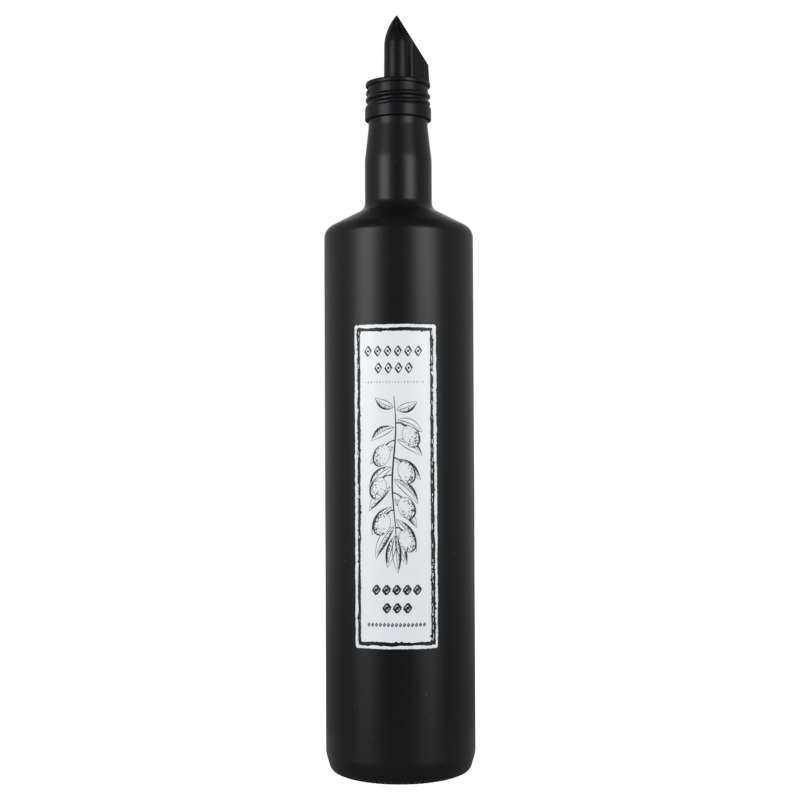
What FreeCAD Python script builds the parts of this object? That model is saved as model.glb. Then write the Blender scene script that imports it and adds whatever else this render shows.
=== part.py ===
"""Olive oil bottle with a threaded collar, a finned pourer and a printed label.

Millimetres, +Z up, origin at the middle of the base. The label faces -Y and the
pourer's fin points towards +X, turned a little to the front. Each piece is one
solid and one STEP file: bottle, collar, pourer, label_border and label_panel.
"""
import FreeCAD, Part
import math
import os

# ---------------------------------------------------------------- bottle body
BODY_RADIUS = 37.75
SHOULDER_Z = 273.0          # where the straight side and the shoulder cone would meet
SHOULDER_EDGE_RADIUS = 6.7
NECK_ROOT_Z = 283.7         # where the shoulder cone and the neck would meet
NECK_ROOT_FILLET = 5.8

# Heel: two roundings between the straight side and the ring that the bottle stands on.
STAND_RING_RADIUS = 31.6
HEEL_KNEE_INSET = 2.5       # knee of the heel, in from the straight side
HEEL_KNEE_HEIGHT = 1.2
HEEL_KNEE_RADIUS = 4.2
HEEL_TOP_HEIGHT = 9.5
HEEL_TOP_RADIUS = 13.7
PUSH_UP_MARGIN = 5.5        # width of the flat ring round the hollow under the base
PUSH_UP_DEPTH = 2.5

# ----------------------------------------------------------------------- neck
NECK_RADIUS = 17.05
NECK_TAPER_START_Z = 308.4
NECK_TAPER_BLEND = 30.0
NECK_TOP_RADIUS = 15.1
NECK_TAPER_LENGTH = 16.7
NECK_TOP_BLEND = 20.0
FINISH_RADIUS = 13.6        # the narrower end of the neck, inside the collar

# --------------------------------------------------------------------- collar
COLLAR_Z = 328.7
COLLAR_HEIGHT = 17.1
COLLAR_FIT = 0.1            # radial gap between the collar and the end of the neck
BAND_RADIUS = 16.9
BAND_HEIGHT = 6.3
BAND_EDGE_RADIUS = 0.7
THREAD_ROOT_RADIUS = 15.35
THREAD_CREST = 1.15         # how far the thread stands out of its root
THREAD_BEAD_RADIUS = 1.3    # roundness of the thread
THREAD_PITCH = 3.8
THREAD_TURNS = 2.16
THREAD_START_ANGLE = -215.0
THREAD_FIRST_HEIGHT = 6.3   # first bead's middle above the collar's bottom, at the start

# --------------------------------------------------------------------- pourer
FLANGE_RADIUS = 16.5
FLANGE_THICKNESS = 2.3
FLANGE_EDGE_RADIUS = 0.5
SPOUT_BASE_RADIUS = 7.2
SPOUT_TOP_RADIUS = 6.95     # where the straight tube ends and the pointed dome starts
SPOUT_FOOT_FILLET = 1.0
SPOUT_WALL = 1.35
SPOUT_STRAIGHT_HEIGHT = 20.3
SPOUT_DOME_HEIGHT = 15.2
DOME_BULGE = 1.4           # how far the dome's side bows out of a straight cone
FIN_THICKNESS = 1.5
FIN_REACH = 16.3            # from the spout's axis to the fin's foot
FIN_DRAFT = 0.55            # the fin's upper corner stands back by this much
FIN_CORNER_HEIGHT = 8.7     # above the flange
TIP_OFFSET = 0.3            # the tip lies this far from the axis, away from the fin
TIP_HEIGHT = 35.1           # above the flange
FIN_ROOT_HEIGHT = 19.0      # the fin runs through the bore from here up
MOUTH_OFFSET = 4.0          # middle of the oval mouth, towards the fin
MOUTH_HEIGHT = 31.8         # above the flange
MOUTH_HALF_WIDTH = 5.7
MOUTH_HALF_HEIGHT = 8.5
BORE_FLOOR = 0.4            # the bore ends this far below the flange's top
POURER_TURN = -9.0         # degrees about +Z

# ---------------------------------------------------------------------- label
LABEL_THICKNESS = 0.1
LABEL_BOTTOM_Z = 66.2
LABEL_HEIGHT = 156.4
LABEL_WIDTH = 41.6          # measured round the bottle
BORDER_WIDTH = 1.65
BORDER_GAP = 1.55           # bare stripe between the border and the panel
LABEL_CORNER = 1.0

# ------------------------------------------------------------ derived places
STEP_Z = COLLAR_Z                        # the collar stands on the neck's step
FLANGE_Z = COLLAR_Z + COLLAR_HEIGHT      # the pourer's flange lies on the collar and the neck
FLANGE_TOP_Z = FLANGE_Z + FLANGE_THICKNESS
COLLAR_BORE_RADIUS = FINISH_RADIUS + COLLAR_FIT
BORE_RADIUS = SPOUT_BASE_RADIUS - SPOUT_WALL
DOME_Z = FLANGE_TOP_Z + SPOUT_STRAIGHT_HEIGHT

Z_AXIS = FreeCAD.Vector(0, 0, 1)
ORIGIN = FreeCAD.Vector(0, 0, 0)


def point(radius, z):
    """A point of an outline that lies in the XZ plane."""
    return FreeCAD.Vector(radius, 0, z)


def rounded_edges(corners):
    """Edges through corners (x, z, radius); the two ends are never rounded."""
    edges = []
    last = point(*corners[0][:2])
    for before, corner, after in zip(corners, corners[1:], corners[2:]):
        here = point(*corner[:2])
        if corner[2] > 0:
            back = (point(*before[:2]) - here).normalize()
            ahead = (point(*after[:2]) - here).normalize()
            half = back.getAngle(ahead) / 2
            reach = corner[2] / math.tan(half)
            start = here + back * reach
            end = here + ahead * reach
            middle_way = (back + ahead).normalize()
            middle = here + middle_way * (corner[2] / math.sin(half) - corner[2])
            edges.append(Part.LineSegment(last, start).toShape())
            edges.append(Part.Arc(start, middle, end).toShape())
            last = end
        else:
            edges.append(Part.LineSegment(last, here).toShape())
            last = here
    edges.append(Part.LineSegment(last, point(*corners[-1][:2])).toShape())
    return edges


def revolved(edges):
    """Solid of revolution about Z from edges that end on the axis or close on themselves."""
    first = edges[0].Vertexes[0].Point
    last = edges[-1].Vertexes[-1].Point
    if first.distanceToPoint(last) > 1e-6:
        edges = edges + [Part.LineSegment(last, first).toShape()]
    face = Part.Face(Part.Wire(edges))
    return face.revolve(ORIGIN, Z_AXIS, 360)


def plate(corners, thickness):
    """Flat plate, its outline (x, z) in the XZ plane, its middle on that plane."""
    wire = Part.makePolygon([point(x, z) for x, z in corners + corners[:1]])
    slab = Part.Face(wire).extrude(FreeCAD.Vector(0, thickness, 0))
    slab.translate(FreeCAD.Vector(0, -thickness / 2, 0))
    return slab


def solid_of(shape):
    """The one solid in a shape that a boolean step returned."""
    shape = shape.removeSplitter()
    if len(shape.Solids) != 1:
        raise ValueError("expected one solid, found %d" % len(shape.Solids))
    return shape.Solids[0]


def make_bottle():
    """Body, shoulder, neck and the narrow end of the neck, in one solid of revolution."""
    hollow_radius = STAND_RING_RADIUS - PUSH_UP_MARGIN
    hollow_top = point(0, PUSH_UP_DEPTH)
    hollow_side = point(hollow_radius * 0.6, PUSH_UP_DEPTH * 0.8)
    hollow_edge = point(hollow_radius, 0)
    edges = [Part.Arc(hollow_top, hollow_side, hollow_edge).toShape()]
    edges += rounded_edges([
        (hollow_radius, 0, 0),
        (STAND_RING_RADIUS, 0, 0),
        (BODY_RADIUS - HEEL_KNEE_INSET, HEEL_KNEE_HEIGHT, HEEL_KNEE_RADIUS),
        (BODY_RADIUS, HEEL_TOP_HEIGHT, HEEL_TOP_RADIUS),
        (BODY_RADIUS, SHOULDER_Z, SHOULDER_EDGE_RADIUS),
        (NECK_RADIUS, NECK_ROOT_Z, NECK_ROOT_FILLET),
        (NECK_RADIUS, NECK_TAPER_START_Z, NECK_TAPER_BLEND),
        (NECK_TOP_RADIUS, NECK_TAPER_START_Z + NECK_TAPER_LENGTH, NECK_TOP_BLEND),
        (NECK_TOP_RADIUS, STEP_Z, 0),
        (FINISH_RADIUS, STEP_Z, 0),
        (FINISH_RADIUS, FLANGE_Z, 0),
        (0, FLANGE_Z, 0),
    ])
    return solid_of(revolved(edges))


def make_thread():
    """Round bead wound round the collar, with a rounded end at each side."""
    bead_middle = THREAD_ROOT_RADIUS + THREAD_CREST - THREAD_BEAD_RADIUS
    climb = THREAD_PITCH * THREAD_TURNS
    path = Part.makeHelix(THREAD_PITCH, climb, bead_middle)
    section = Part.Wire(Part.makeCircle(
        THREAD_BEAD_RADIUS, FreeCAD.Vector(bead_middle, 0, 0), FreeCAD.Vector(0, 1, 0)))
    bead = Part.Wire(path.Edges).makePipeShell([section], True, True)
    turned = 2 * math.pi * THREAD_TURNS
    ends = [
        FreeCAD.Vector(bead_middle, 0, 0),
        FreeCAD.Vector(bead_middle * math.cos(turned), bead_middle * math.sin(turned), climb),
    ]
    balls = [Part.makeSphere(THREAD_BEAD_RADIUS, end) for end in ends]
    thread = bead.fuse(balls)
    thread.rotate(ORIGIN, Z_AXIS, THREAD_START_ANGLE)
    thread.translate(FreeCAD.Vector(0, 0, COLLAR_Z + THREAD_FIRST_HEIGHT))
    return thread


def make_collar():
    """Plastic ring: a plain band below, the screw thread for the cap above."""
    bottom = COLLAR_Z
    band_top = bottom + BAND_HEIGHT
    edges = rounded_edges([
        (COLLAR_BORE_RADIUS, bottom, 0),
        (BAND_RADIUS, bottom, BAND_EDGE_RADIUS),
        (BAND_RADIUS, band_top, BAND_EDGE_RADIUS),
        (THREAD_ROOT_RADIUS, band_top, 0),
        (THREAD_ROOT_RADIUS, FLANGE_Z, 0),
        (COLLAR_BORE_RADIUS, FLANGE_Z, 0),
        (COLLAR_BORE_RADIUS, bottom, 0),
    ])
    return solid_of(revolved(edges).fuse(make_thread()))


def spout_shell(radius, top_radius, floor_z, dome_height):
    """Pointed tube, solid inside: straight side, then a dome that bows out."""
    apex = point(0, DOME_Z + dome_height)
    shoulder = point(top_radius, DOME_Z)
    chord = apex - shoulder
    outward = FreeCAD.Vector(-chord.z, 0, chord.x).normalize() * -1
    bulge = DOME_BULGE * top_radius / SPOUT_TOP_RADIUS
    middle = shoulder + chord * 0.5 + outward * bulge
    edges = [
        Part.LineSegment(point(0, floor_z), point(radius, floor_z)).toShape(),
        Part.LineSegment(point(radius, floor_z), shoulder).toShape(),
        Part.Arc(shoulder, middle, apex).toShape(),
    ]
    return revolved(edges)


def make_pourer():
    """Flange, spout with an oval mouth, and the fin that runs out from its tip."""
    edge = FLANGE_EDGE_RADIUS
    flange = revolved(rounded_edges([
        (0, FLANGE_Z, 0),
        (FLANGE_RADIUS, FLANGE_Z, edge),
        (FLANGE_RADIUS, FLANGE_TOP_Z, edge),
        (SPOUT_BASE_RADIUS, FLANGE_TOP_Z, SPOUT_FOOT_FILLET),
        (SPOUT_BASE_RADIUS, FLANGE_TOP_Z + 2 * SPOUT_FOOT_FILLET, 0),
        (0, FLANGE_TOP_Z + 2 * SPOUT_FOOT_FILLET, 0),
    ]))
    outer = spout_shell(SPOUT_BASE_RADIUS, SPOUT_TOP_RADIUS, FLANGE_Z, SPOUT_DOME_HEIGHT)
    bore_floor_z = FLANGE_TOP_Z - BORE_FLOOR
    inner = spout_shell(BORE_RADIUS, SPOUT_TOP_RADIUS - SPOUT_WALL, bore_floor_z,
                        SPOUT_DOME_HEIGHT - 2 * SPOUT_WALL)

    tip = (-TIP_OFFSET, FLANGE_TOP_Z + TIP_HEIGHT)
    corner = (FIN_REACH - FIN_DRAFT, FLANGE_TOP_Z + FIN_CORNER_HEIGHT)
    fin_root_z = FLANGE_TOP_Z + FIN_ROOT_HEIGHT
    fin = plate([
        (0, FLANGE_Z + edge),
        (FIN_REACH - edge, FLANGE_Z + edge),
        (FIN_REACH, FLANGE_TOP_Z),
        corner,
        tip,
        (-BORE_RADIUS, DOME_Z),
        (-BORE_RADIUS, fin_root_z),
        (0, fin_root_z),
    ], FIN_THICKNESS)
    clear_bore = Part.makeCylinder(
        BORE_RADIUS, fin_root_z - bore_floor_z, FreeCAD.Vector(0, 0, bore_floor_z), Z_AXIS)

    pourer = flange.fuse(outer).cut(inner).fuse(fin.cut(clear_bore))
    slope = (corner[1] - tip[1]) / (corner[0] - tip[0])
    far = 2 * FLANGE_RADIUS
    above_fin = plate([
        (tip[0] - far * 0.02, tip[1] - far * 0.02 * slope),
        (tip[0] + far, tip[1] + far * slope),
        (tip[0] + far, tip[1] + far),
        (tip[0] - far * 0.02, tip[1] + far),
    ], 2 * far)
    oval = Part.Ellipse(ORIGIN, MOUTH_HALF_HEIGHT, MOUTH_HALF_WIDTH).toShape()
    oval.rotate(ORIGIN, FreeCAD.Vector(1, 0, 0), 90)
    oval.rotate(ORIGIN, FreeCAD.Vector(0, 1, 0), 90)
    mouth = Part.Face(Part.Wire(oval)).extrude(FreeCAD.Vector(0, far, 0))
    mouth.translate(FreeCAD.Vector(MOUTH_OFFSET, FIN_THICKNESS / 2, FLANGE_TOP_Z + MOUTH_HEIGHT))
    other_mouth = mouth.mirror(ORIGIN, FreeCAD.Vector(0, 1, 0))
    pourer = solid_of(pourer.cut([above_fin, mouth, other_mouth]))
    pourer.rotate(ORIGIN, Z_AXIS, POURER_TURN)
    return pourer


def label_field(inset):
    """Curved field of the label, drawn in from its outer edge by inset on every side."""
    half_angle = (LABEL_WIDTH / 2 - inset) / BODY_RADIUS
    half_width = BODY_RADIUS * math.sin(half_angle)
    height = LABEL_HEIGHT - 2 * inset
    outer_radius = BODY_RADIUS + LABEL_THICKNESS
    skin = Part.makeCylinder(outer_radius, height).cut(Part.makeCylinder(BODY_RADIUS, height))
    window = Part.makeBox(2 * half_width, outer_radius, height,
                          FreeCAD.Vector(-half_width, -outer_radius, 0))
    through_edges = [e for e in window.Edges if abs(e.Length - outer_radius) < 1e-6]
    window = window.makeFillet(LABEL_CORNER, through_edges)
    field = skin.common(window)
    field.translate(FreeCAD.Vector(0, 0, LABEL_BOTTOM_Z + inset))
    return field


def make_label_border():
    """White border round the label."""
    return solid_of(label_field(0).cut(label_field(BORDER_WIDTH)))


def make_label_panel():
    """White panel that carries the print."""
    return solid_of(label_field(BORDER_WIDTH + BORDER_GAP))


NODES = {
    "bottle": make_bottle,
    "collar": make_collar,
    "pourer": make_pourer,
    "label_border": make_label_border,
    "label_panel": make_label_panel,
}


def main():
    os.makedirs("parts", exist_ok=True)
    for name, make in NODES.items():
        solid = make()
        solid.exportStep(os.path.join("parts", name + ".step"))
        box = solid.BoundBox
        print("%-13s valid %s  volume %.1f cm3  z %.2f to %.2f  x %.2f to %.2f" % (
            name, solid.isValid(), solid.Volume / 1000, box.ZMin, box.ZMax, box.XMin, box.XMax))


main()
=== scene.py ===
# %% [markdown]
# # A matt black olive oil bottle
#
# The bottle is tall and round. A plastic collar with a screw thread sits on its neck, a pourer
# with a slanted spout and a side fin closes it, and a long white label is printed on its front.
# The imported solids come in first. They fix every size and place, and the pieces made
# below stand for them with finer shapes and finishes.

# %% Load the frame and the tools
import math
import random
import bmesh
import bpy
from mathutils import Matrix, Vector, noise


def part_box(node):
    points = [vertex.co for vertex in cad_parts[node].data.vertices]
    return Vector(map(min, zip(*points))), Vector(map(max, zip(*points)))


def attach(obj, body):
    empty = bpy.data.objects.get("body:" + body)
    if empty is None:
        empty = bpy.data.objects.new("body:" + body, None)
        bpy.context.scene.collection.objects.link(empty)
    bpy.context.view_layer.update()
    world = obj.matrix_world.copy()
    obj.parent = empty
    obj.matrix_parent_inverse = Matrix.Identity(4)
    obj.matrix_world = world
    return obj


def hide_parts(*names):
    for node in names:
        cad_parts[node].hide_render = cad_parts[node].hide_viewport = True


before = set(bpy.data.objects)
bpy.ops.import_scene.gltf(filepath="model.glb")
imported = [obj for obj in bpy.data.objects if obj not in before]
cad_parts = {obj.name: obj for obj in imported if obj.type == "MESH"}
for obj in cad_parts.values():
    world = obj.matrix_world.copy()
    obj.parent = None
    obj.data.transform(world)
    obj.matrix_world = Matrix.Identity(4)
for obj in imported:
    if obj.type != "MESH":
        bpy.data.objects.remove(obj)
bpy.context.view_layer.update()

MM = 0.001
BODY = "root"
print("nodes:", sorted(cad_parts))

# %% [markdown]
# ## Helpers for pieces
#
# Each piece starts as a bmesh, a mesh that operators can edit. One helper turns it into an
# object and shades it smooth. The object stays at the origin, unturned and
# unscaled, because its place is in its vertices.

# %% From a bmesh to a finished piece


def finish_piece(name, bm, material, node=None, smooth_angle=40):
    """Makes an object from a bmesh, gives it its finish and lets it ride on the bottle."""
    mesh = bpy.data.meshes.new(name)
    bm.to_mesh(mesh)
    bm.free()
    piece = bpy.data.objects.new(name, mesh)
    bpy.context.scene.collection.objects.link(piece)
    mesh.materials.append(material)
    mesh.shade_smooth()
    mesh.set_sharp_from_angle(angle=math.radians(smooth_angle))
    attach(piece, BODY)
    if node:
        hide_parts(node)
    print(name, len(mesh.polygons), "faces")
    return piece


# %% [markdown]
# ## Outlines with round corners
#
# Glass and plastic have no sharp corners. An outline is given by its corners, each with a
# radius, and this helper puts an arc in each one. A long straight side is cut into equal
# lengths where a later step has to bend it.

# %% Corners to points


def rounded_outline(corners, arc_steps=8, longest=1e9):
    """Points (r, z) in mm through corners (r, z, radius), with an arc in each rounded one."""
    points = [Vector(corners[0][:2])]
    for before, corner, after in zip(corners, corners[1:], corners[2:]):
        here = Vector(corner[:2])
        radius = corner[2]
        if radius <= 0:
            points.append(here)
            continue
        back = (Vector(before[:2]) - here).normalized()
        ahead = (Vector(after[:2]) - here).normalized()
        half = back.angle(ahead) / 2
        centre = here + (back + ahead).normalized() * (radius / math.sin(half))
        start = here + back * (radius / math.tan(half)) - centre
        end = here + ahead * (radius / math.tan(half)) - centre
        sweep = start.angle_signed(end)
        for step in range(arc_steps + 1):
            turned = start.copy()
            turned.rotate(Matrix.Rotation(-sweep * step / arc_steps, 2))
            points.append(centre + turned)
    points.append(Vector(corners[-1][:2]))
    dense = [points[0]]
    for a, b in zip(points, points[1:]):
        pieces = max(1, math.ceil((b - a).length / longest))
        dense += [a.lerp(b, step / pieces) for step in range(1, pieces + 1)]
    return dense


def spin_outline(points, steps):
    """Spins an outline (r, z) in mm round the Z axis into a closed skin, in metres."""
    bm = bmesh.new()
    verts = [bm.verts.new((p.x * MM, 0, p.y * MM)) for p in points]
    edges = [bm.edges.new(pair) for pair in zip(verts, verts[1:])]
    bmesh.ops.spin(bm, geom=verts + edges, cent=(0, 0, 0), axis=(0, 0, 1), dvec=(0, 0, 0),
                   angle=math.tau, steps=steps, use_merge=True, use_duplicate=False)
    bmesh.ops.remove_doubles(bm, verts=bm.verts, dist=1e-7)
    bmesh.ops.recalc_face_normals(bm, faces=bm.faces)
    return bm


# %% [markdown]
# ## The camera
#
# The bottle is seen almost level, from a little below its middle, through a long lens. The
# camera is a fixed distance away and tips up about one degree. It leans by a quarter of a
# degree, so the bottle does too.

# %% Camera
VIEW_TURN = math.radians(3.3)
CAMERA_DISTANCE = 746 * MM
CAMERA_HEIGHT = 172.4 * MM
CAMERA_TILT = math.radians(1.1)
CAMERA_LEAN = math.radians(-0.25)
CAMERA_ASIDE = 0.35 * MM
FILM_WIDTH = 36
LENS = 66.15

camera_data = bpy.data.cameras.new("camera")
camera_data.sensor_width = FILM_WIDTH
camera_data.lens = LENS
camera_data.clip_start = 0.01
camera = bpy.data.objects.new("camera", camera_data)
bpy.context.scene.collection.objects.link(camera)
bpy.context.scene.camera = camera
camera.matrix_world = (Matrix.Rotation(VIEW_TURN, 4, "Z")
                       @ Matrix.Translation((CAMERA_ASIDE, -CAMERA_DISTANCE, CAMERA_HEIGHT))
                       @ Matrix.Rotation(math.pi / 2 + CAMERA_TILT, 4, "X")
                       @ Matrix.Rotation(CAMERA_LEAN, 4, "Z"))
print("lens", camera_data.lens, "mm")

# %% [markdown]
# ## Light
#
# A black bottle shows its light more than its own colour. Two tall soft boxes stand in front,
# one at each side, and each leaves one soft upright band on the round body. A box is made of
# panels one above another, bright at the top and dimmer below, so the bands are strong at the
# shoulder and fade towards the base. Wide dim panels further back brighten the outline, one
# high panel behind the bottle lights the slope of its shoulder, and a faint disk that faces
# up round the foot lights the heel, as white paper does. Every step of a box is one line in a
# table, so each can be tuned by itself.

# %% Soft boxes


def soft_panel(name, azimuth, distance, z_low, z_high, width, brightness):
    """Upright area light, azimuth in degrees from the camera's side towards +X."""
    data = bpy.data.lights.new(name, "AREA")
    data.shape = "RECTANGLE"
    data.size = width
    data.size_y = z_high - z_low
    data.energy = brightness * data.size * data.size_y
    light = bpy.data.objects.new(name, data)
    bpy.context.scene.collection.objects.link(light)
    turn = math.radians(azimuth) + VIEW_TURN
    place = Vector((math.sin(turn) * distance, -math.cos(turn) * distance, (z_low + z_high) / 2))
    light.matrix_world = (Matrix.Translation(place) @ Matrix.Rotation(turn, 4, "Z")
                          @ Matrix.Rotation(math.pi / 2, 4, "X"))
    return light


# each box: side, azimuth, width, brightness
BOXES = [("left", -53, 0.60, 23.3), ("right", 44.5, 0.58, 23.0)]
BOX_DISTANCE = 1.1
# each step: lowest z, highest z, share of the brightness, degrees turned in to the middle
BOX_STEPS = [(0.47, 0.62, 1.6, 6), (0.34, 0.47, 1.15, 2), (0.10, 0.34, 0.72, 0),
             (-0.10, 0.10, 0.35, 0), (-0.45, -0.10, 0.055, 0)]
RIM_AZIMUTH = 118
RIM_DISTANCE = 1.2
RIM_WIDTH = 2.1
RIM_BRIGHTNESS = 1.45
RIM_STEPS = [(-0.08, 1.9, 1.0), (-0.5, -0.08, 0.4)]
for side, azimuth, width, brightness in BOXES:
    for step, (z_low, z_high, share, turn_in) in enumerate(BOX_STEPS):
        turned = azimuth - math.copysign(turn_in, azimuth)
        soft_panel(f"box_{side}_{step}", turned, BOX_DISTANCE, z_low, z_high, width,
                   brightness * share)
    for step, (z_low, z_high, share) in enumerate(RIM_STEPS):
        turned = math.copysign(RIM_AZIMUTH, azimuth)
        soft_panel(f"rim_{side}_{step}", turned, RIM_DISTANCE, z_low, z_high, RIM_WIDTH,
                   RIM_BRIGHTNESS * share)

# %% Back panel and foot glow
back_light = soft_panel("back", azimuth=180, distance=1.5, z_low=0.48, z_high=1.10, width=1.2,
                        brightness=4.2)
back_light.visible_camera = False

GLOW_WIDTH = 0.22
GLOW_Z = 0.0015
foot_glow = soft_panel("foot_glow", azimuth=0, distance=0, z_low=0, z_high=GLOW_WIDTH,
                       width=GLOW_WIDTH, brightness=0.3)
foot_glow.data.shape = "DISK"
foot_glow.matrix_world = Matrix.Translation((0, 0, GLOW_Z)) @ Matrix.Rotation(math.pi, 4, "X")
foot_glow.visible_camera = False
print("lights:", len(bpy.data.lights))

# %% Dim white world
world = bpy.data.worlds.new("studio")
world.use_nodes = True
world.node_tree.nodes["Background"].inputs["Color"].default_value = (1, 1, 1, 1)
world.node_tree.nodes["Background"].inputs["Strength"].default_value = 0.08
bpy.context.scene.world = world
bpy.context.scene.view_settings.view_transform = "Standard"

# %% [markdown]
# ## The white floor
#
# The floor and the wall are one round sheet that bends up in a wide curve, as a studio's
# paper does, so no edge shows from any side. It glows a little by itself, which keeps it
# white, and it isn't mirrored in the black coat.

# %% Paper sheet
PAPER_RADIUS = 4000
PAPER_BEND = 1000
PAPER_HEIGHT = 6000


def make_paper():
    """Spins the sheet's side outline round the bottle."""
    side = rounded_outline([(0, 0, 0), (PAPER_RADIUS, 0, PAPER_BEND),
                            (PAPER_RADIUS, PAPER_HEIGHT, 0)], arc_steps=16)
    bm = spin_outline(side, 96)
    mesh = bpy.data.meshes.new("paper")
    bm.to_mesh(mesh)
    bm.free()
    mesh.shade_smooth()
    return bpy.data.objects.new("paper", mesh)


paper_material = bpy.data.materials.new("white_paper")
paper_material.use_nodes = True
paper_shader = paper_material.node_tree.nodes["Principled BSDF"]
paper_shader.inputs["Base Color"].default_value = (0.8, 0.8, 0.8, 1)
paper_shader.inputs["Roughness"].default_value = 0.9
paper_shader.inputs["Emission Color"].default_value = (1, 1, 1, 1)
paper_shader.inputs["Emission Strength"].default_value = 0.93
paper = make_paper()
paper.data.materials.append(paper_material)
bpy.context.scene.collection.objects.link(paper)
paper.visible_glossy = False
paper.visible_diffuse = False
paper.visible_shadow = False

# %% [markdown]
# ## Finishes
#
# A finish is a small tree of shader nodes. The coat on the glass is a matt black paint: its
# grain is a fine noise that goes into the bump, a wide one makes it a little more or less
# dull, and a few pale specks of dust lie on it. The plastic has one wide, faint waviness, as
# moulded parts do.

# %% Node helpers


def new_material(name, **values):
    """A Principled material, with plain values set on the shader's own sockets."""
    material = bpy.data.materials.new(name)
    material.use_nodes = True
    shader = material.node_tree.nodes["Principled BSDF"]
    for socket, value in values.items():
        shader.inputs[socket.replace("_", " ")].default_value = value
    return material, material.node_tree, shader


def noise_from_object(tree, scale, detail=3.0):
    """Noise that reads Object coordinates, so it stays fixed to the piece."""
    place = tree.nodes.new("ShaderNodeTexCoord")
    texture = tree.nodes.new("ShaderNodeTexNoise")
    texture.inputs["Scale"].default_value = scale
    texture.inputs["Detail"].default_value = detail
    tree.links.new(place.outputs["Object"], texture.inputs["Vector"])
    return texture.outputs["Fac"]


def spread(tree, value, low, high, from_low=0.3, from_high=0.7):
    """Spreads a noise value over the range from low to high."""
    spread_node = tree.nodes.new("ShaderNodeMapRange")
    spread_node.inputs["From Min"].default_value = from_low
    spread_node.inputs["From Max"].default_value = from_high
    spread_node.inputs["To Min"].default_value = low
    spread_node.inputs["To Max"].default_value = high
    tree.links.new(value, spread_node.inputs["Value"])
    return spread_node.outputs["Result"]


def blend_colors(tree, shader, factor, first, second):
    """Lets a value blend two base colours."""
    mix = tree.nodes.new("ShaderNodeMix")
    mix.data_type = "RGBA"
    mix.inputs["A"].default_value = (*first, 1)
    mix.inputs["B"].default_value = (*second, 1)
    tree.links.new(factor, mix.inputs["Factor"])
    tree.links.new(mix.outputs["Result"], shader.inputs["Base Color"])


def add_bump(tree, shader, height, distance, strength):
    """Lets a height value tilt the light on a surface."""
    bump = tree.nodes.new("ShaderNodeBump")
    bump.inputs["Distance"].default_value = distance
    bump.inputs["Strength"].default_value = strength
    tree.links.new(height, bump.inputs["Height"])
    tree.links.new(bump.outputs["Normal"], shader.inputs["Normal"])


# %% Matt coat


def make_coat():
    """Matt black paint with fine grain and a little dust."""
    material, tree, shader = new_material("matt_black_coat", Specular_IOR_Level=0.20)
    grain = noise_from_object(tree, 2600.0)
    cloud = noise_from_object(tree, 22.0)
    tree.links.new(spread(tree, cloud, 0.325, 0.375), shader.inputs["Roughness"])
    dust = spread(tree, noise_from_object(tree, 900.0, 0.0), 0.0, 1.0, 0.84, 0.88)
    blend_colors(tree, shader, dust, (0.0066, 0.0066, 0.0074), (0.06, 0.06, 0.06))
    add_bump(tree, shader, grain, 0.02 * MM, 0.35)
    return material


coat = make_coat()

# %% Moulded plastic


def make_plastic():
    """Black plastic with the faint waves of a moulding."""
    material, tree, shader = new_material("black_plastic", Specular_IOR_Level=0.17,
                                          Base_Color=(0.0050, 0.0050, 0.0062, 1))
    wave = noise_from_object(tree, 180.0)
    tree.links.new(spread(tree, wave, 0.31, 0.40), shader.inputs["Roughness"])
    add_bump(tree, shader, wave, 0.04 * MM, 0.5)
    return material


plastic = make_plastic()

# %% [markdown]
# ## The bottle
#
# A round bottle is one outline spun round its axis. The outline has few corners: the standing
# ring, the heel's two roundings, the shoulder's edge, the root of the neck and the neck's
# taper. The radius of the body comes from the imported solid. The foot has a row of small
# notches, which a glass mould leaves so that hot glass cools evenly. The spin has five steps
# for each notch, and a cosine of the angle says how deep a vertex is pressed in.

# %% Bottle outline
KNURL_COUNT = 72
KNURL_DEPTH = 0.9
KNURL_TOP = 3.2
KNURL_INNER_RADIUS = 31.0
bottle_low, bottle_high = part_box("bottle")
BODY_RADIUS = (bottle_high[0] - bottle_low[0]) / 2 / MM
FLANGE_Z = bottle_high[2] / MM
COLLAR_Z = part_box("collar")[0][2] / MM
STAND_RING_RADIUS = 31.6
HOLLOW_RADIUS = 26.1
HOLLOW_DEPTH = 2.5
HEEL_Z = 9.5
SHOULDER_Z = 273.0
NECK_RADIUS = 17.05
NECK_ROOT_Z = 283.7
NECK_BEND_Z = 308.4
NECK_TOP_RADIUS = 15.1
NECK_TOP_Z = 325.1
FINISH_RADIUS = 13.6

bottle_outline = rounded_outline([
    (0, HOLLOW_DEPTH, 0),
    (HOLLOW_RADIUS * 0.6, HOLLOW_DEPTH * 0.8, 0),
    (HOLLOW_RADIUS, 0, 0),
    (STAND_RING_RADIUS, 0, 0),
    (BODY_RADIUS - 2.5, 1.2, 4.2),
    (BODY_RADIUS, HEEL_Z, 13.7),
    (BODY_RADIUS, SHOULDER_Z, 6.7),
    (NECK_RADIUS, NECK_ROOT_Z, 5.8),
    (NECK_RADIUS, NECK_BEND_Z, 30.0),
    (NECK_TOP_RADIUS, NECK_TOP_Z, 20.0),
    (NECK_TOP_RADIUS, COLLAR_Z, 0),
    (FINISH_RADIUS, COLLAR_Z, 0),
    (FINISH_RADIUS, FLANGE_Z, 0),
    (0, FLANGE_Z, 0),
], arc_steps=12, longest=20)


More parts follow.
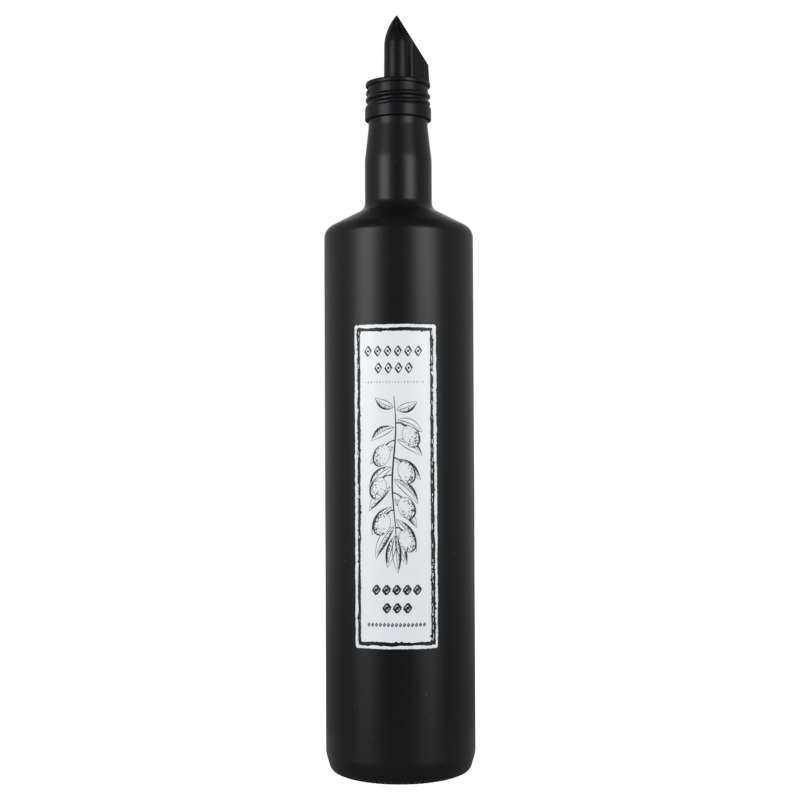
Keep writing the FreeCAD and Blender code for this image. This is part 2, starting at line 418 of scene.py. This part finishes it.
def press_knurl(bm):
    """Presses small notches into the foot's outer edge, a whole number of them round it."""
    for vert in bm.verts:
        radius = vert.co.xy.length / MM
        z = vert.co.z / MM
        if radius < KNURL_INNER_RADIUS or z > KNURL_TOP:
            continue
        groove = max(0.0, math.cos(KNURL_COUNT * math.atan2(vert.co.y, vert.co.x))) ** 0.7
        run_in = min(1.0, (radius - KNURL_INNER_RADIUS) / 3.0) ** 1.5
        depth = KNURL_DEPTH * groove * run_in * (1 - z / KNURL_TOP)
        vert.co.z += 0.7 * depth * MM
        vert.co.xy *= 1 - depth / radius
    return bm


finish_piece("bottle_skin", press_knurl(spin_outline(bottle_outline, KNURL_COUNT * 5)), coat,
             "bottle", 30)

# %% [markdown]
# ## The collar
#
# The collar is spun like the bottle, with many thin rows where the thread lies. Then each
# outer vertex of those rows moves out by the height of the thread at its turn and level.
# That gives a thread with soft flanks and ends that run out, in one closed skin.

# %% Collar
COLLAR_STEPS = 256
BORE_GAP = 0.1
BAND_HEIGHT = 6.3
BAND_RADIUS = 16.9
BAND_SLOPE = 1.3
THREAD_ROOT = 15.35
THREAD_CREST = 1.15
THREAD_PITCH = 3.8
THREAD_TURNS = 2.16
THREAD_START = math.radians(-215)
THREAD_Z = COLLAR_Z + BAND_HEIGHT
THREAD_HALF_WIDTH = 1.45
THREAD_ROWS = 76
RUN_OUT = math.radians(25)


def thread_height(angle, z):
    """How far the thread stands out at an angle and a level, in mm."""
    best = 0.0
    first = (angle - THREAD_START) % math.tau
    for turn in range(math.ceil(THREAD_TURNS) + 1):
        along = first + turn * math.tau
        if along > THREAD_TURNS * math.tau:
            break
        ends = min(along, THREAD_TURNS * math.tau - along) / RUN_OUT
        fade = min(1.0, ends) ** 0.5
        away = abs(z - THREAD_Z - THREAD_PITCH * along / math.tau)
        if away < THREAD_HALF_WIDTH:
            flank = (1 - (away / THREAD_HALF_WIDTH) ** 2) ** 0.9
            best = max(best, THREAD_CREST * fade * flank)
    return best


def make_collar():
    """Spins the collar and pulls the thread out of its upper rows."""
    bore_radius = FINISH_RADIUS + BORE_GAP
    band_top = COLLAR_Z + BAND_HEIGHT
    slope_top = band_top + BAND_SLOPE
    outline = rounded_outline([
        (bore_radius, COLLAR_Z, 0),
        (BAND_RADIUS, COLLAR_Z, 0.7),
        (BAND_RADIUS, band_top - 0.2, 0.7),
        (THREAD_ROOT, slope_top, 0),
    ], arc_steps=6, longest=0.4)
    outline += [Vector((THREAD_ROOT, slope_top + (FLANGE_Z - slope_top) * (row + 1) / THREAD_ROWS))
                for row in range(THREAD_ROWS)]
    outline += [Vector((bore_radius, FLANGE_Z)), Vector((bore_radius, COLLAR_Z))]
    bm = spin_outline(outline, COLLAR_STEPS)
    for vert in bm.verts:
        radius = vert.co.xy.length / MM
        z = vert.co.z / MM
        if radius > THREAD_ROOT - 0.01 and z > COLLAR_Z + 1:
            angle = math.atan2(vert.co.y, vert.co.x)
            reach = max(radius, THREAD_ROOT + thread_height(angle, z))
            vert.co.xy *= reach / radius
    bmesh.ops.recalc_face_normals(bm, faces=bm.faces)
    return bm


finish_piece("collar_ring", make_collar(), plastic, "collar", 50)

# %% [markdown]
# ## The pourer
#
# The pourer is one moulding: a flange, a pointed spout with an oval mouth, and a fin that runs
# from the spout's tip down to the flange's edge. Spun and extruded parts are joined and cut
# by booleans, then remeshed into tiny even faces, which rounds every edge a little, as a
# mould does.

# %% Pourer's sizes
FLANGE_RADIUS = 16.5
FLANGE_TOP = FLANGE_Z + 2.3
SPOUT_RADIUS = 7.2
SPOUT_TOP_RADIUS = 6.95
SPOUT_WALL = 1.35
DOME_Z = FLANGE_TOP + 20.3
DOME_HEIGHT = 15.2
DOME_BULGE = 1.4
FIN_THICKNESS = 1.5
FIN_REACH = 16.3
TIP = Vector((-0.3, FLANGE_TOP + 35.1))
FIN_CORNER = Vector((FIN_REACH - 0.55, FLANGE_TOP + 8.7))
FIN_ROOT_Z = FLANGE_TOP + 19.0
BORE_RADIUS = SPOUT_RADIUS - SPOUT_WALL
BORE_Z = FLANGE_TOP - 0.4
ROOT_Z = FLANGE_Z + 0.5
MOUTH_X = 5.2
MOUTH_Z = FLANGE_TOP + 32.4
MOUTH_HALF_WIDTH = 5.9
MOUTH_HALF_HEIGHT = 8.6
MOUTH_DEPTH = 20
MOUTH_PLATE = 0.8
TUBE_STEPS = 96
ARC_STEPS = 24
POURER_TURN = math.radians(-9)
POURER_GRAIN = 0.24
# the rib along the fin's end, and the fillet where the fin leaves the tube, seen from above
RIB_HALF = [(FIN_REACH - 1.5, 0.7), (FIN_REACH - 1.1, 1.7), (FIN_REACH - 0.75, 1.7),
            (FIN_REACH, 1.1)]
RIB_LEAN = 0.8
ROOT_HALF = [(SPOUT_RADIUS - 0.8, 1.95), (SPOUT_RADIUS - 0.2, 1.65), (SPOUT_RADIUS + 1.0, 0.7)]

# %% Pourer's outlines


def dome_outline(foot_radius, top_radius, floor_z, dome_height):
    """Outline of the pointed tube: a straight side, then an arc that bows out to the tip."""
    foot = Vector((foot_radius, floor_z))
    shoulder = Vector((top_radius, DOME_Z))
    apex = Vector((0, DOME_Z + dome_height))
    chord = apex - shoulder
    outward = Vector((chord.y, -chord.x)).normalized()
    bulge = DOME_BULGE * top_radius / SPOUT_TOP_RADIUS
    radius = (chord.length ** 2 / 4 + bulge ** 2) / (2 * bulge)
    centre = shoulder + chord / 2 + outward * (bulge - radius)
    start = shoulder - centre
    sweep = start.angle_signed(apex - centre)
    arc = []
    for step in range(ARC_STEPS + 1):
        turned = start.copy()
        turned.rotate(Matrix.Rotation(-sweep * step / ARC_STEPS, 2))
        arc.append(centre + turned)
    arc[-1] = apex
    return [Vector((0, floor_z)), foot] + arc


def pulled(corners, way):
    """Fills a loop of corners with one face and pulls it along a way, all in metres."""
    bm = bmesh.new()
    face = bm.faces.new([bm.verts.new(corner) for corner in corners])
    moved = bmesh.ops.extrude_face_region(bm, geom=[face])["geom"]
    lifted = [v for v in moved if isinstance(v, bmesh.types.BMVert)]
    bmesh.ops.translate(bm, verts=lifted, vec=way)
    bmesh.ops.recalc_face_normals(bm, faces=bm.faces)
    return bm


def extruded(points, thickness):
    """Flat outline (x, z) in mm, extruded along Y about the middle, as a closed bmesh."""
    corners = [(p[0] * MM, -thickness / 2 * MM, p[1] * MM) for p in points]
    return pulled(corners, (0, thickness * MM, 0))


def raised(points, z_low, z_high, lean=0.0):
    """Outline (x, y) in mm seen from above, raised into a closed bmesh that leans back."""
    corners = [(x * MM, y * MM, z_low * MM) for x, y in points]
    return pulled(corners, (-lean * MM, 0, (z_high - z_low) * MM))


def both_sides(points):
    """Closes half an outline (x, y) by its mirror image across the X axis."""
    return points + [(x, -y) for x, y in reversed(points)]


# %% Pourer's joins and cuts


def scratch_object(name, bm):
    """Makes a passing object, which a boolean can use."""
    mesh = bpy.data.meshes.new(name)
    bm.to_mesh(mesh)
    bm.free()
    thing = bpy.data.objects.new(name, mesh)
    bpy.context.scene.collection.objects.link(thing)
    return thing


def combine(base, tool, operation):
    """Applies one boolean step to base and deletes the tool."""
    step = base.modifiers.new(operation, "BOOLEAN")
    step.operation = operation
    step.solver = "EXACT"
    step.object = tool
    apply_modifiers(base)
    bpy.data.objects.remove(tool)


def apply_modifiers(thing):
    """Replaces an object's mesh by what its modifiers make of it."""
    evaluated = thing.evaluated_get(bpy.context.evaluated_depsgraph_get())
    mesh = bpy.data.meshes.new_from_object(evaluated)
    thing.modifiers.clear()
    thing.data = mesh


# %% Pourer's solid


def moulded_tube():
    """The flange and the pointed tube, hollow and with the fin in it."""
    flange = rounded_outline([
        (0, FLANGE_Z, 0),
        (FLANGE_RADIUS, FLANGE_Z, 0.5),
        (FLANGE_RADIUS, FLANGE_TOP, 0.5),
        (SPOUT_RADIUS, FLANGE_TOP, 1.0),
        (SPOUT_RADIUS, FLANGE_TOP + 3, 0),
        (0, FLANGE_TOP + 3, 0),
    ], arc_steps=6)
    tube = scratch_object("tube", spin_outline(flange, 128))
    outer = dome_outline(SPOUT_RADIUS, SPOUT_TOP_RADIUS, ROOT_Z, DOME_HEIGHT)
    inner = dome_outline(BORE_RADIUS, SPOUT_TOP_RADIUS - SPOUT_WALL, BORE_Z,
                         DOME_HEIGHT - 2 * SPOUT_WALL)
    combine(tube, scratch_object("outer", spin_outline(outer, TUBE_STEPS)), "UNION")
    combine(tube, scratch_object("inner", spin_outline(inner, TUBE_STEPS)), "DIFFERENCE")
    fin = scratch_object("fin", extruded([
        (0, ROOT_Z), (FIN_REACH - 0.5, ROOT_Z), (FIN_REACH, FLANGE_TOP), FIN_CORNER, TIP,
        (-BORE_RADIUS, DOME_Z), (-BORE_RADIUS, FIN_ROOT_Z), (0, FIN_ROOT_Z),
    ], FIN_THICKNESS))
    bore = [Vector((0, BORE_Z)), Vector((BORE_RADIUS, BORE_Z)),
            Vector((BORE_RADIUS, FIN_ROOT_Z)), Vector((0, FIN_ROOT_Z))]
    combine(fin, scratch_object("bore", spin_outline(bore, TUBE_STEPS)), "DIFFERENCE")
    combine(tube, fin, "UNION")
    return tube


def cut_mouth(tube, side):
    """Cuts one half of the oval mouth and leaves the fin's plate in the middle."""
    oval = bmesh.new()
    bmesh.ops.create_cone(oval, cap_ends=True, segments=TUBE_STEPS, radius1=1, radius2=1,
                          depth=1)
    bmesh.ops.rotate(oval, verts=oval.verts, matrix=Matrix.Rotation(math.pi / 2, 3, "X"))
    bmesh.ops.scale(oval, verts=oval.verts,
                    vec=(MOUTH_HALF_WIDTH * MM, MOUTH_DEPTH * MM, MOUTH_HALF_HEIGHT * MM))
    aside = side * (MOUTH_DEPTH + MOUTH_PLATE) / 2
    bmesh.ops.translate(oval, verts=oval.verts, vec=(MOUTH_X * MM, aside * MM, MOUTH_Z * MM))
    combine(tube, scratch_object("oval", oval), "DIFFERENCE")


# %% Pourer


def make_pourer():
    """Adds rib and fillets, cuts the slope and the mouth, and evens the faces."""
    pourer = moulded_tube()
    rib = raised(both_sides(RIB_HALF), FLANGE_TOP - 1, FIN_CORNER.y + 3, RIB_LEAN)
    root = raised(both_sides(ROOT_HALF), FLANGE_TOP - 1, FLANGE_TOP + 26)
    combine(pourer, scratch_object("rib", rib), "UNION")
    combine(pourer, scratch_object("root", root), "UNION")
    slope = (FIN_CORNER - TIP).normalized()
    above = extruded([TIP - slope, TIP + slope * 60, TIP + Vector((60, 30)),
                      TIP + Vector((-1, 30))], 60)
    combine(pourer, scratch_object("above", above), "DIFFERENCE")
    for side in (-1, 1):
        cut_mouth(pourer, side)
    remesh = pourer.modifiers.new("even_faces", "REMESH")
    remesh.mode = "VOXEL"
    remesh.voxel_size = POURER_GRAIN * MM
    apply_modifiers(pourer)
    bm = bmesh.new()
    bm.from_mesh(pourer.data)
    bpy.data.objects.remove(pourer)
    for _ in range(2):
        bmesh.ops.smooth_vert(bm, verts=bm.verts, factor=0.5, use_axis_x=True, use_axis_y=True,
                              use_axis_z=True)
    bmesh.ops.rotate(bm, verts=bm.verts, matrix=Matrix.Rotation(POURER_TURN, 3, "Z"))
    return bm


finish_piece("pourer_spout", make_pourer(), plastic, "pourer", 60)

# %% [markdown]
# ## The label
#
# The label is white print on the black coat: a hand-inked border, a bare stripe, and a tall
# white panel. Both are drawn flat, as sheets in the XZ plane whose X is the way round the
# bottle. Then every vertex is wrapped onto the bottle. Smooth noise pushes the edges in and
# out, with a few deeper nicks, so that they look brushed and not cut. The right side of the
# border runs a little aslant, as a hand-drawn line does.

# %% Flat drawing and wrapping
LABEL_LIFT = 0.06
LABEL_THICKNESS = 0.08
INK_LIFT = 0.09
INK_THICKNESS = 0.05
EDGE_STEP = 0.35


def half_width_of(node):
    """Half of a label piece's width, measured round the bottle, in mm."""
    low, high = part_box(node)
    reach = (high[0] - low[0]) / 2 / MM
    return math.asin(reach / BODY_RADIUS) * BODY_RADIUS


def rough_rectangle(half_width, z_low, z_high, corner, seed, wobble, nick, right=(0.0, 0.0)):
    """Points round a rectangle, pushed in and out by noise; the right side may run aslant."""
    sides = [((-half_width, z_low), (half_width, z_low), (0, -1)),
             ((half_width, z_low), (half_width, z_high), (1, 0)),
             ((half_width, z_high), (-half_width, z_high), (0, 1)),
             ((-half_width, z_high), (-half_width, z_low), (-1, 0))]
    points = []
    travelled = 0.0
    for start, end, out in sides:
        start, end, out = Vector(start), Vector(end), Vector(out)
        length = (end - start).length
        count = round(length / EDGE_STEP)
        for index in range(count):
            along = length * index / count
            point = start.lerp(end, index / count)
            near_corner = min(along, length - along)
            # each side draws only its own half of a corner's arc
            if near_corner < corner * (1 - math.cos(math.pi / 4)):
                continue
            if near_corner < corner:
                point -= out * (corner - math.sqrt(corner ** 2 - (corner - near_corner) ** 2))
            place = travelled + along
            push = wobble * noise.noise(Vector((place * 0.25, seed, 0)))
            push += 0.7 * wobble * noise.noise(Vector((place * 1.1, seed, 5)))
            bite = noise.noise(Vector((place * 0.7, seed, 9))) - 0.42
            push -= nick * max(0.0, bite) * 4
            point += out * push
            if point.x > 0:
                rise = (point.y - z_low) / (z_high - z_low)
                point.x *= 1 + (right[0] + (right[1] - right[0]) * rise) / half_width
            points.append(point)
        travelled += length
    return points


def add_loop(bm, points):
    """Adds a closed loop of vertices and edges at the drawing plane."""
    verts = [bm.verts.new((p.x, 0, p.y)) for p in points]
    return [bm.edges.new((a, b)) for a, b in zip(verts, verts[1:] + verts[:1])]


def wrap_on_bottle(bm, lift, thickness):
    """Cuts the flat drawing into narrow strips, thickens it and bends it round the bottle."""
    reach = max(abs(v.co.x) for v in bm.verts)
    for strip in range(-math.ceil(reach), math.ceil(reach) + 1):
        bmesh.ops.bisect_plane(bm, geom=bm.verts[:] + bm.edges[:] + bm.faces[:], dist=1e-5,
                               plane_co=(strip, 0, 0), plane_no=(1, 0, 0))
    moved = bmesh.ops.extrude_face_region(bm, geom=bm.faces[:], use_keep_orig=True)["geom"]
    outer = [v for v in moved if isinstance(v, bmesh.types.BMVert)]
    bmesh.ops.translate(bm, verts=outer, vec=(0, -thickness, 0))
    for vert in bm.verts:
        radius = BODY_RADIUS + lift - thickness - vert.co.y
        angle = vert.co.x / BODY_RADIUS
        vert.co = Vector((radius * math.sin(angle), -radius * math.cos(angle), vert.co.z)) * MM
    bmesh.ops.recalc_face_normals(bm, faces=bm.faces)
    return bm


# %% Label border and panel
label_low, label_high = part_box("label_border")
panel_low, panel_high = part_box("label_panel")
BORDER_HALF = half_width_of("label_border")
PANEL_HALF = half_width_of("label_panel")
BORDER_BAND = 1.55


def make_border():
    """The narrow frame between two rough rectangles."""
    bm = bmesh.new()
    low, high = label_low[2] / MM, label_high[2] / MM
    outer = rough_rectangle(BORDER_HALF, low, high, 1.2, 1.5, 0.22, 0.25, (0.35, 0.0))
    inner = rough_rectangle(BORDER_HALF - BORDER_BAND, low + BORDER_BAND, high - BORDER_BAND,
                            0.6, 7.5, 0.42, -0.5, (0.75, -0.30))
    edges = add_loop(bm, outer) + add_loop(bm, inner)
    bmesh.ops.triangle_fill(bm, use_beauty=True, use_dissolve=False, edges=edges)
    return wrap_on_bottle(bm, LABEL_LIFT, LABEL_THICKNESS)


def make_panel():
    """The tall white field, a little smaller than the frame's opening."""
    bm = bmesh.new()
    outline = rough_rectangle(PANEL_HALF, panel_low[2] / MM, panel_high[2] / MM, 0.5, 12.5,
                              0.26, 0.50)
    edges = add_loop(bm, outline)
    bmesh.ops.triangle_fill(bm, use_beauty=True, use_dissolve=False, edges=edges)
    return wrap_on_bottle(bm, LABEL_LIFT, LABEL_THICKNESS)


# %% White print


def make_label_white():
    """White print that is a little thicker here and thinner there."""
    material, tree, shader = new_material("label_white", Roughness=0.38)
    blend_colors(tree, shader, noise_from_object(tree, 90.0), (0.770, 0.802, 0.835),
                 (0.805, 0.837, 0.865))
    add_bump(tree, shader, noise_from_object(tree, 1500.0), 0.01 * MM, 0.4)
    return material


label_white = make_label_white()
finish_piece("label_edge", make_border(), label_white, "label_border", 30)
finish_piece("label_field", make_panel(), label_white, "label_panel", 30)

# %% [markdown]
# ## The print on the panel
#
# The print is drawn with a pen made of mesh. A stroke starts as one short edge, and each step
# extrudes that edge to the next point of its path, so a line can swell and fade as an inked
# line does. Dots are small capped circles. The bottle carries no words: plain rows of lozenges
# and ticks stand where a label has its lines of text.

# %% Pen strokes and dots
OLIVE_HALF_LENGTH = 5.5
OLIVE_HALF_WIDTH = 3.9


def pen_stroke(bm, path, widths, hidden=None):
    """Draws a line of changing width along a path of points (across, up) in mm."""
    edge = None
    for index, point in enumerate(path):
        if hidden and hidden(point):
            edge = None
            continue
        along = path[min(index + 1, len(path) - 1)] - path[max(index - 1, 0)]
        half = along.orthogonal().normalized() * widths[index] / 2
        left = Vector((point.x + half.x, 0, point.y + half.y))
        right = Vector((point.x - half.x, 0, point.y - half.y))
        if edge is None:
            edge = bm.edges.new((bm.verts.new(left), bm.verts.new(right)))
        else:
            made = bmesh.ops.extrude_edge_only(bm, edges=[edge])["geom"]
            fresh = [part for part in made if isinstance(part, bmesh.types.BMVert)]
            for vert in fresh:
                on_left = (vert.co - old_left).length < (vert.co - old_right).length
                vert.co = left if on_left else right
            edge = bm.edges.get(fresh)
        old_left, old_right = left, right


def dot(bm, place, radius, stretch=1.0, turn=0.0):
    """Adds a small filled circle or oval, stretched along its own upright axis."""
    matrix = (Matrix.Translation((place.x, 0, place.y)) @ Matrix.Rotation(-turn, 4, "Y")
              @ Matrix.Diagonal((1, 1, stretch, 1)) @ Matrix.Rotation(math.pi / 2, 4, "X"))
    bmesh.ops.create_circle(bm, cap_ends=True, segments=7, radius=radius, matrix=matrix)


def swell(count, thin, thick, lead=0.5):
    """Line widths that grow from thin to thick and fall back, with the peak at lead."""
    widths = []
    for index in range(count):
        t = index / (count - 1)
        rise = t / lead if t < lead else (1 - t) / (1 - lead)
        widths.append(thin + (thick - thin) * math.sin(rise * math.pi / 2) ** 1.5)
    return widths


# %% [markdown]
# ### An olive sprig
#
# The sprig hangs down the middle of the panel. Its stem sways a little, leaves leave it in
# pairs that grow longer and steeper towards the tip, and an olive hangs in each fork. One
# flank of each leaf and olive is in shade: the leaf has a thick edge and short hatching, and
# the olive has dots that crowd together. Lines stop where an olive covers them.

# %% Sprig
SPRIG_TOP = 187.9
SPRIG_LENGTH = 70.0
chance = random.Random(11)


def on_stem(drop):
    """Point on the stem, a drop in mm below its top."""
    return Vector((0.9 * math.sin(drop / 9.0) - 0.5, SPRIG_TOP - drop))


def olive_place(drop, side, aside, down):
    """Centre and tilt of the olive that hangs from the stem at a drop."""
    root = on_stem(drop)
    centre = root + Vector((side * aside, -down))
    return {"root": root, "centre": centre, "side": side, "tilt": side * math.radians(24)}


olives = [olive_place(13.0 + 8.4 * index, side, aside, down)
          for index, (side, aside, down) in enumerate([
              (1, 7.4, 6.5), (-1, 6.6, 7.2), (1, 6.2, 7.0), (-1, 7.0, 6.2), (1, 6.8, 7.4),
              (-1, 5.8, 6.8), (1, 5.6, 6.4)])]


def in_olive(point, grow=1.0):
    """Whether an olive covers a point."""
    for olive in olives:
        offset = point - olive["centre"]
        offset.rotate(Matrix.Rotation(-olive["tilt"], 2))
        if (offset.x / OLIVE_HALF_WIDTH) ** 2 + (offset.y / OLIVE_HALF_LENGTH) ** 2 < grow:
            return True
    return False


def draw_leaf(bm, root, length, width, angle, curl):
    """Draws a leaf; the angle is from straight down, positive to the right."""
    ahead = Vector((math.sin(angle), -math.cos(angle)))
    across = Vector((ahead.y, -ahead.x))
    shade = 1 if chance.random() < 0.5 else -1

    def place(t, offset):
        bend = across * curl * length * t * (1 - t)
        body = math.sin(math.pi * t ** 0.85) ** 0.85
        return root + ahead * length * (0.08 + 0.92 * t) + bend + across * offset * width / 2 * body

    steps = [index / 22 for index in range(23)]
    pen_stroke(bm, [place(t, shade) for t in steps], swell(23, 0.16, 0.95, 0.6), in_olive)
    pen_stroke(bm, [place(t, -shade) for t in steps], swell(23, 0.14, 0.36, 0.3), in_olive)
    pen_stroke(bm, [place(t * 0.9, 0) for t in steps], swell(23, 0.12, 0.34, 0.2), in_olive)
    for index in range(round(length * 1.2)):
        t = 0.12 + 0.76 * (index + chance.uniform(-0.3, 0.3)) / (length * 1.2)
        reach = chance.uniform(0.25, 0.9)
        line = [place(t + 0.05 * k / 3, shade * (1 - reach * k / 3)) for k in range(4)]
        pen_stroke(bm, line, [0.46, 0.38, 0.26, 0.12], in_olive)


def draw_olive(bm, olive):
    """Draws an olive: a stalk, an outline that is thick in the shade, and stippling."""
    turn = Matrix.Rotation(olive["tilt"], 2)
    top = olive["centre"] + turn @ Vector((0, OLIVE_HALF_LENGTH))
    bend = (olive["root"] + top) / 2 + Vector((0, 1.2))
    stalk = [olive["root"].lerp(bend, t / 6).lerp(bend.lerp(top, t / 6), t / 6) for t in range(7)]
    pen_stroke(bm, stalk, [0.8, 0.65, 0.55, 0.5, 0.55, 0.65, 0.9])
    ring = []
    widths = []
    for index in range(37):
        round_angle = math.tau * index / 36
        rim = Vector((OLIVE_HALF_WIDTH * math.sin(round_angle),
                      OLIVE_HALF_LENGTH * math.cos(round_angle)))
        ring.append(olive["centre"] + turn @ rim)
        facing = -math.cos(round_angle + olive["side"] * 0.9)
        widths.append(0.18 + 0.60 * max(0.0, facing))
    pen_stroke(bm, ring, widths)
    for _ in range(300):
        spot = Vector((chance.uniform(-1, 1), chance.uniform(-1, 1)))
        shaded = spot.length + 0.55 * (-spot.y + 0.8 * olive["side"] * spot.x)
        if spot.length > 0.94 or chance.random() > max(0.0, shaded - 0.10) ** 1.8:
            continue
        place = Vector((spot.x * OLIVE_HALF_WIDTH, spot.y * OLIVE_HALF_LENGTH))
        dot(bm, olive["centre"] + turn @ place, chance.uniform(0.13, 0.32))


def draw_sprig(bm):
    """Draws the stem, the first two leaves, the pairs, the tip's three leaves and the olives."""
    stem = [on_stem(drop * SPRIG_LENGTH / 60) for drop in range(61)]
    pen_stroke(bm, stem, [0.30 + 0.50 * math.sin(math.pi * t / 60) for t in range(61)], in_olive)
    draw_leaf(bm, on_stem(7), 11.5, 4.2, math.radians(112), 0.25)
    draw_leaf(bm, on_stem(6), 11.0, 3.9, math.radians(-118), -0.25)
    for pair in range(6):
        drop = 11.0 + 9.4 * pair
        length = 14.5 + 1.1 * pair
        steep = math.radians(64 - 6.5 * pair)
        draw_leaf(bm, on_stem(drop), length, 4.3, steep, -0.28)
        draw_leaf(bm, on_stem(drop + 3.5), length * 0.96, 4.2, -steep * 0.94, 0.30)
    for angle, length in ((-14, 17.0), (3, 19.0), (19, 16.0)):
        draw_leaf(bm, on_stem(SPRIG_LENGTH - 4), length, 4.0, math.radians(angle), 0.06)
    for olive in olives:
        draw_olive(bm, olive)


# %% [markdown]
# ### Rows of ornament
#
# Each row repeats one small motif at an even pitch. A lozenge drawn with two thick and two
# thin sides has the weight of a printed letter, and a heavier one that of a bold letter. The
# last piece is a handful of short white flecks in the bare stripe, where the white ink has
# strayed. It takes the finish of the border and rides with it.

# %% Rows


def draw_lozenge(bm, middle, width, height, thick, thin):
    """Four-sided outline, thick on two opposite sides, with a dot in it."""
    corners = [Vector((0, height / 2)), Vector((width / 2, 0)), Vector((0, -height / 2)),
               Vector((-width / 2, 0))]
    for index, corner in enumerate(corners):
        other = corners[(index + 1) % 4]
        weight = thick if index % 2 == 0 else thin
        side = [middle + corner.lerp(other, t / 3) for t in range(4)]
        pen_stroke(bm, side, [weight] * 4)
    dot(bm, middle, thick * 0.75)


def draw_row(bm, middle, z, pitch, count, motif):
    """Repeats a motif along a row about a middle; motif takes the mesh, the place, the index."""
    for index in range(count):
        motif(bm, Vector((middle + (index - (count - 1) / 2) * pitch, z)), index)


def light_motif(bm, middle, index):
    """Stands for a thin capital letter."""
    draw_lozenge(bm, middle, 3.3, 4.9, 0.85, 0.42)


def bold_motif(bm, middle, index):
    """Stands for a bold capital letter."""
    draw_lozenge(bm, middle, 3.7, 4.6, 1.25, 0.75)


def small_motif(bm, middle, index):
    """Stands for a small letter."""
    draw_lozenge(bm, middle, 1.25, 1.9, 0.42, 0.26)


def tick_motif(bm, middle, index):
    """Stands for a very fine letter; every third one is shorter."""
    dot(bm, middle, 0.26, 3.0 if index % 3 else 1.4)


# %% Print pieces


def ink_piece(name, draw, color):
    """Draws one layer of print and wraps it on the panel."""
    bm = bmesh.new()
    draw(bm)
    wrap_on_bottle(bm, INK_LIFT, INK_THICKNESS)
    material, tree, shader = new_material(name, Roughness=0.5)
    worn = spread(tree, noise_from_object(tree, 700.0), 0.0, 1.0, 0.6, 0.85)
    blend_colors(tree, shader, worn, color, [part * 2.2 + 0.03 for part in color])
    return finish_piece(name, bm, material, "label_panel", 30)


def draw_ink(bm):
    """Draws all that is black, from the top row to the bottom one."""
    draw_row(bm, -0.9, 209.7, 4.95, 6, light_motif)
    draw_row(bm, -0.6, 201.5, 4.95, 4, light_motif)
    draw_sprig(bm)
    draw_row(bm, 0.6, 94.6, 5.0, 5, bold_motif)
    draw_row(bm, 0.8, 85.9, 5.0, 3, bold_motif)
    draw_row(bm, 0.32, 77.8, 1.95, 15, small_motif)


def draw_faint_ink(bm):
    """Draws the fine grey row."""
    draw_row(bm, -0.4, 194.7, 1.5, 20, tick_motif)


ink_piece("label_print_dark", draw_ink, (0.014, 0.014, 0.017))
ink_piece("label_print_faint", draw_faint_ink, (0.36, 0.37, 0.40))

# %% Flecks
FLECK_COUNT = 60


def make_flecks():
    """Draws short white strokes in the bare stripe, most of them on its right."""
    bm = bmesh.new()
    low, high = panel_low[2] / MM, panel_high[2] / MM
    for index in range(FLECK_COUNT):
        side = -1 if index % 5 == 0 else 1
        start = Vector((side * (PANEL_HALF + chance.uniform(0.7, 1.2)), chance.uniform(low, high)))
        rise = Vector((chance.uniform(-0.15, 0.15), chance.uniform(0.5, 2.8)))
        width = chance.uniform(0.16, 0.38)
        pen_stroke(bm, [start + rise * t / 4 for t in range(5)],
                   [width * share for share in (0.3, 0.9, 1.0, 0.8, 0.3)])
    return wrap_on_bottle(bm, LABEL_LIFT, INK_THICKNESS)


finish_piece("label_flecks", make_flecks(), label_white, "label_border", 30)
